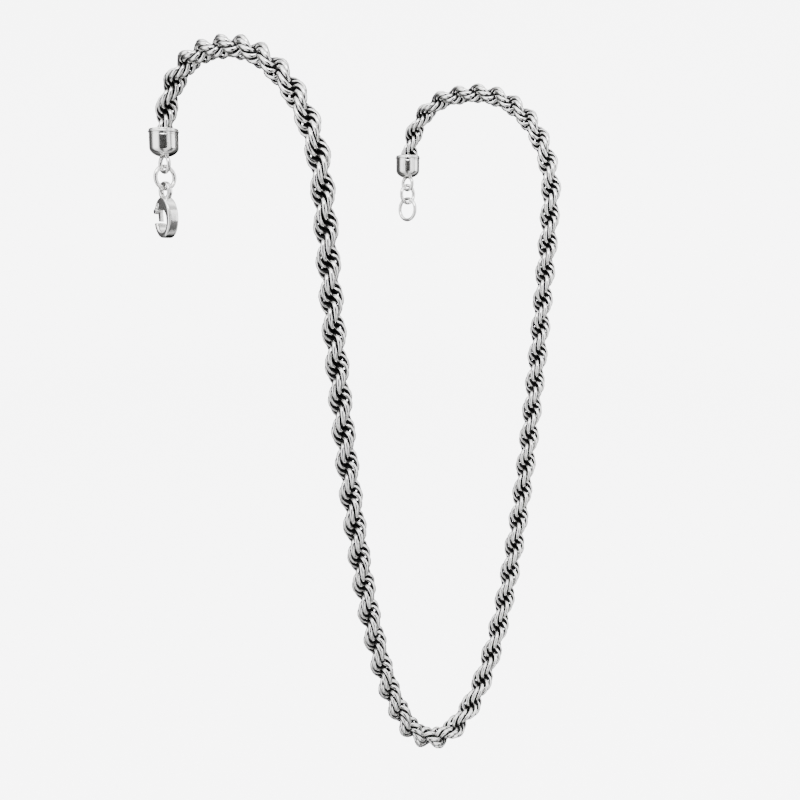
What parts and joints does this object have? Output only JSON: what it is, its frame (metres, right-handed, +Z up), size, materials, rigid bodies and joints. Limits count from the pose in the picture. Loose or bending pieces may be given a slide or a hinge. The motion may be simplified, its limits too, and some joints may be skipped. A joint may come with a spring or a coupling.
{
  "type": "chain necklace",
  "caption": "Twisted rope chain necklace of oxidised silver links, hanging as draped over a display block, with end caps, jump rings, a catch ring and an undone lobster clasp.",
  "frame": {"origin": "on top of what holds the necklace up, midway between the two top runs, level with the underside of the rope there", "axes": "+X to the right and +Y to the back of someone who faces the front, +Z up"},
  "size_m": [0.0838, 0.0571, 0.1567],
  "materials": {
    "rope_link": "polished silver, blackened in the recesses",
    "polished_silver": "polished silver with fine wear",
    "spring_steel": "satin steel"
  },
  "bodies": {
    "rope_01": {"rope_01": "rope_link", "clasp_end_cap": "polished_silver"},
    "rope_02": {"rope_02": "rope_link"},
    "rope_03": {"rope_03": "rope_link"},
    "rope_04": {"rope_04": "rope_link"},
    "rope_05": {"rope_05": "rope_link"},
    "rope_06": {"rope_06": "rope_link"},
    "rope_07": {"rope_07": "rope_link"},
    "rope_08": {"rope_08": "rope_link"},
    "rope_09": {"rope_09": "rope_link"},
    "rope_10": {"rope_10": "rope_link"},
    "rope_11": {"rope_11": "rope_link"},
    "rope_12": {"rope_12": "rope_link"},
    "rope_13": {"rope_13": "rope_link"},
    "rope_14": {"rope_14": "rope_link"},
    "rope_15": {"rope_15": "rope_link"},
    "rope_16": {"rope_16": "rope_link"},
    "rope_17": {"rope_17": "rope_link"},
    "rope_18": {"rope_18": "rope_link"},
    "rope_19": {"rope_19": "rope_link"},
    "rope_20": {"rope_20": "rope_link"},
    "rope_21": {"rope_21": "rope_link"},
    "rope_22": {"rope_22": "rope_link"},
    "rope_23": {"rope_23": "rope_link"},
    "rope_24": {"rope_24": "rope_link"},
    "rope_25": {"rope_25": "rope_link"},
    "rope_26": {"rope_26": "rope_link"},
    "rope_27": {"rope_27": "rope_link"},
    "rope_28": {"rope_28": "rope_link"},
    "rope_29": {"rope_29": "rope_link"},
    "rope_30": {"rope_30": "rope_link"},
    "rope_31": {"rope_31": "rope_link"},
    "rope_32": {"rope_32": "rope_link"},
    "rope_33": {"rope_33": "rope_link"},
    "rope_34": {"rope_34": "rope_link"},
    "rope_35": {"rope_35": "rope_link"},
    "rope_36": {"rope_36": "rope_link"},
    "rope_37": {"rope_37": "rope_link"},
    "rope_38": {"rope_38": "rope_link"},
    "rope_39": {"rope_39": "rope_link"},
    "rope_40": {"rope_40": "rope_link"},
    "rope_41": {"rope_41": "rope_link"},
    "rope_42": {"rope_42": "rope_link", "catch_end_cap": "polished_silver"},
    "clasp_jump_ring": {"clasp_jump_ring": "polished_silver"},
    "clasp": {"clasp_body": "polished_silver", "clasp_pin": "spring_steel", "lever_spring": "spring_steel"},
    "lever": {"lever": "polished_silver"},
    "catch_jump_ring": {"catch_jump_ring": "polished_silver"},
    "catch_ring": {"catch_ring": "polished_silver"}
  },
  "joints": [
    {"name": "lever_press", "type": "hinge", "parent": "clasp", "child": "lever", "pos_m": [-0.0385, 0.0205, -0.02828], "axis": [-1, 0, 0], "range_deg": [0, 26], "stiffness_Nm_per_rad": 0.01, "springref_deg": -20.05, "deforming": ["lever_spring"]},
    {"name": "clasp_swing", "type": "hinge", "parent": "clasp_jump_ring", "child": "clasp", "pos_m": [-0.0385, 0.019, -0.02213], "axis": [0, 1, 0], "range_deg": [-35, 35]},
    {"name": "clasp_ring_swing", "type": "hinge", "parent": "rope_01", "child": "clasp_jump_ring", "pos_m": [-0.0385, 0.019, -0.01973], "axis": [1, 0, 0], "range_deg": [-40, 40]},
    {"name": "catch_jump_ring_swing", "type": "hinge", "parent": "rope_42", "child": "catch_jump_ring", "pos_m": [0.0385, 0.019, -0.01973], "axis": [1, 0, 0], "range_deg": [-40, 40]},
    {"name": "catch_ring_swing", "type": "hinge", "parent": "catch_jump_ring", "child": "catch_ring", "pos_m": [0.0385, 0.019, -0.02213], "axis": [0, 1, 0], "range_deg": [-35, 35]},
    {"name": "rope_bend_01", "type": "hinge", "parent": "rope_02", "child": "rope_01", "pos_m": [-0.0385, 0.01638, -0.00543], "axis": [0.9964, 0.072, 0.0454], "range_deg": [-25, 25]},
    {"name": "rope_bend_02", "type": "hinge", "parent": "rope_03", "child": "rope_02", "pos_m": [-0.0385, 0.00888, 0.00104], "axis": [0.0851, -0.4033, -0.9111], "range_deg": [-25, 25]},
    {"name": "rope_bend_03", "type": "hinge", "parent": "rope_03", "child": "rope_04", "pos_m": [-0.0385, -0.00097, 0.0025], "axis": [-0.9964, 0, -0.0851], "range_deg": [-25, 25]},
    {"name": "rope_bend_04", "type": "hinge", "parent": "rope_04", "child": "rope_05", "pos_m": [-0.03838, -0.01088, 0.00114], "axis": [-0.0812, -0.3009, 0.9502], "range_deg": [-25, 25]},
    {"name": "rope_bend_05", "type": "hinge", "parent": "rope_05", "child": "rope_06", "pos_m": [-0.03799, -0.01977, -0.00343], "axis": [0.9964, 0, 0.0851], "range_deg": [-25, 25]},
    {"name": "rope_bend_06", "type": "hinge", "parent": "rope_06", "child": "rope_07", "pos_m": [-0.03737, -0.02661, -0.01069], "axis": [0.0469, 0.8344, -0.5492], "range_deg": [-25, 25]},
    {"name": "rope_bend_07", "type": "hinge", "parent": "rope_07", "child": "rope_08", "pos_m": [-0.03659, -0.03063, -0.01982], "axis": [-0.9964, 0, -0.0851], "range_deg": [-25, 25]},
    {"name": "rope_bend_08", "type": "hinge", "parent": "rope_08", "child": "rope_09", "pos_m": [-0.03574, -0.0315, -0.02976], "axis": [0, -1, 0], "range_deg": [-25, 25]},
    {"name": "rope_bend_09", "type": "hinge", "parent": "rope_09", "child": "rope_10", "pos_m": [-0.03483, -0.0315, -0.03977], "axis": [0.9956, 0, 0.0942], "range_deg": [-25, 25]},
    {"name": "rope_bend_10", "type": "hinge", "parent": "rope_10", "child": "rope_11", "pos_m": [-0.03385, -0.0315, -0.04977], "axis": [0, 1, 0], "range_deg": [-25, 25]},
    {"name": "rope_bend_11", "type": "hinge", "parent": "rope_11", "child": "rope_12", "pos_m": [-0.03276, -0.0315, -0.05976], "axis": [-0.9936, 0, -0.1128], "range_deg": [-25, 25]},
    {"name": "rope_bend_12", "type": "hinge", "parent": "rope_12", "child": "rope_13", "pos_m": [-0.03157, -0.0315, -0.06974], "axis": [0, -1, 0], "range_deg": [-25, 25]},
    {"name": "rope_bend_13", "type": "hinge", "parent": "rope_13", "child": "rope_14", "pos_m": [-0.03024, -0.0315, -0.0797], "axis": [0.9901, 0, 0.1405], "range_deg": [-25, 25]},
    {"name": "rope_bend_14", "type": "hinge", "parent": "rope_14", "child": "rope_15", "pos_m": [-0.02873, -0.0315, -0.08964], "axis": [0, 1, 0], "range_deg": [-25, 25]},
    {"name": "rope_bend_15", "type": "hinge", "parent": "rope_15", "child": "rope_16", "pos_m": [-0.027, -0.0315, -0.09954], "axis": [-0.9826, 0, -0.1859], "range_deg": [-25, 25]},
    {"name": "rope_bend_16", "type": "hinge", "parent": "rope_16", "child": "rope_17", "pos_m": [-0.02497, -0.0315, -0.10938], "axis": [0, -1, 0], "range_deg": [-25, 25]},
    {"name": "rope_bend_17", "type": "hinge", "parent": "rope_17", "child": "rope_18", "pos_m": [-0.0225, -0.0315, -0.11912], "axis": [0.962, 0, 0.273], "range_deg": [-25, 25]},
    {"name": "rope_bend_18", "type": "hinge", "parent": "rope_18", "child": "rope_19", "pos_m": [-0.01938, -0.0315, -0.12867], "axis": [0, 1, 0], "range_deg": [-25, 25]},
    {"name": "rope_bend_19", "type": "hinge", "parent": "rope_19", "child": "rope_20", "pos_m": [-0.01519, -0.0315, -0.1378], "axis": [-0.8697, 0, -0.4936], "range_deg": [-25, 25]},
    {"name": "rope_bend_20", "type": "hinge", "parent": "rope_20", "child": "rope_21", "pos_m": [-0.00907, -0.0315, -0.1457], "axis": [0, -1, 0], "range_deg": [-25, 25]},
    {"name": "rope_bend_21", "type": "hinge", "parent": "rope_21", "child": "rope_22", "pos_m": [0, -0.0315, -0.1495], "axis": [0, 0, 1], "range_deg": [-25, 25]},
    {"name": "rope_bend_22", "type": "hinge", "parent": "rope_22", "child": "rope_23", "pos_m": [0.00907, -0.0315, -0.1457], "axis": [0, 1, 0], "range_deg": [-25, 25]},
    {"name": "rope_bend_23", "type": "hinge", "parent": "rope_23", "child": "rope_24", "pos_m": [0.01519, -0.0315, -0.1378], "axis": [0.8697, 0, -0.4936], "range_deg": [-25, 25]},
    {"name": "rope_bend_24", "type": "hinge", "parent": "rope_24", "child": "rope_25", "pos_m": [0.01938, -0.0315, -0.12867], "axis": [0, -1, 0], "range_deg": [-25, 25]},
    {"name": "rope_bend_25", "type": "hinge", "parent": "rope_25", "child": "rope_26", "pos_m": [0.0225, -0.0315, -0.11912], "axis": [-0.962, 0, 0.273], "range_deg": [-25, 25]},
    {"name": "rope_bend_26", "type": "hinge", "parent": "rope_26", "child": "rope_27", "pos_m": [0.02497, -0.0315, -0.10938], "axis": [0, 1, 0], "range_deg": [-25, 25]},
    {"name": "rope_bend_27", "type": "hinge", "parent": "rope_27", "child": "rope_28", "pos_m": [0.027, -0.0315, -0.09954], "axis": [0.9826, 0, -0.1859], "range_deg": [-25, 25]},
    {"name": "rope_bend_28", "type": "hinge", "parent": "rope_28", "child": "rope_29", "pos_m": [0.02873, -0.0315, -0.08964], "axis": [0, -1, 0], "range_deg": [-25, 25]},
    {"name": "rope_bend_29", "type": "hinge", "parent": "rope_29", "child": "rope_30", "pos_m": [0.03024, -0.0315, -0.0797], "axis": [-0.9901, 0, 0.1405], "range_deg": [-25, 25]},
    {"name": "rope_bend_30", "type": "hinge", "parent": "rope_30", "child": "rope_31", "pos_m": [0.03157, -0.0315, -0.06974], "axis": [0, 1, 0], "range_deg": [-25, 25]},
    {"name": "rope_bend_31", "type": "hinge", "parent": "rope_31", "child": "rope_32", "pos_m": [0.03276, -0.0315, -0.05976], "axis": [0.9936, 0, -0.1128], "range_deg": [-25, 25]},
    {"name": "rope_bend_32", "type": "hinge", "parent": "rope_32", "child": "rope_33", "pos_m": [0.03385, -0.0315, -0.04977], "axis": [0, -1, 0], "range_deg": [-25, 25]},
    {"name": "rope_bend_33", "type": "hinge", "parent": "rope_33", "child": "rope_34", "pos_m": [0.03483, -0.0315, -0.03977], "axis": [-0.9956, 0, 0.0942], "range_deg": [-25, 25]},
    {"name": "rope_bend_34", "type": "hinge", "parent": "rope_34", "child": "rope_35", "pos_m": [0.03574, -0.0315, -0.02976], "axis": [0, 1, 0], "range_deg": [-25, 25]},
    {"name": "rope_bend_35", "type": "hinge", "parent": "rope_35", "child": "rope_36", "pos_m": [0.03659, -0.03063, -0.01982], "axis": [0.9964, 0, -0.0851], "range_deg": [-25, 25]},
    {"name": "rope_bend_36", "type": "hinge", "parent": "rope_36", "child": "rope_37", "pos_m": [0.03737, -0.02661, -0.01069], "axis": [0.0469, -0.8344, 0.5492], "range_deg": [-25, 25]},
    {"name": "rope_bend_37", "type": "hinge", "parent": "rope_37", "child": "rope_38", "pos_m": [0.03799, -0.01977, -0.00343], "axis": [-0.9964, 0, 0.0851], "range_deg": [-25, 25]},
    {"name": "rope_bend_38", "type": "hinge", "parent": "rope_38", "child": "rope_39", "pos_m": [0.03838, -0.01088, 0.00114], "axis": [-0.0812, 0.3009, -0.9502], "range_deg": [-25, 25]},
    {"name": "rope_bend_39", "type": "hinge", "parent": "rope_39", "child": "rope_40", "pos_m": [0.0385, -0.00097, 0.0025], "axis": [0.9964, 0, -0.0851], "range_deg": [-25, 25]},
    {"name": "rope_bend_40", "type": "hinge", "parent": "rope_40", "child": "rope_41", "pos_m": [0.0385, 0.00888, 0.00104], "axis": [0.0851, 0.4033, 0.9111], "range_deg": [-25, 25]},
    {"name": "rope_bend_41", "type": "hinge", "parent": "rope_41", "child": "rope_42", "pos_m": [0.0385, 0.01638, -0.00543], "axis": [-0.9964, 0.072, 0.0454], "range_deg": [-25, 25]}
  ]
}
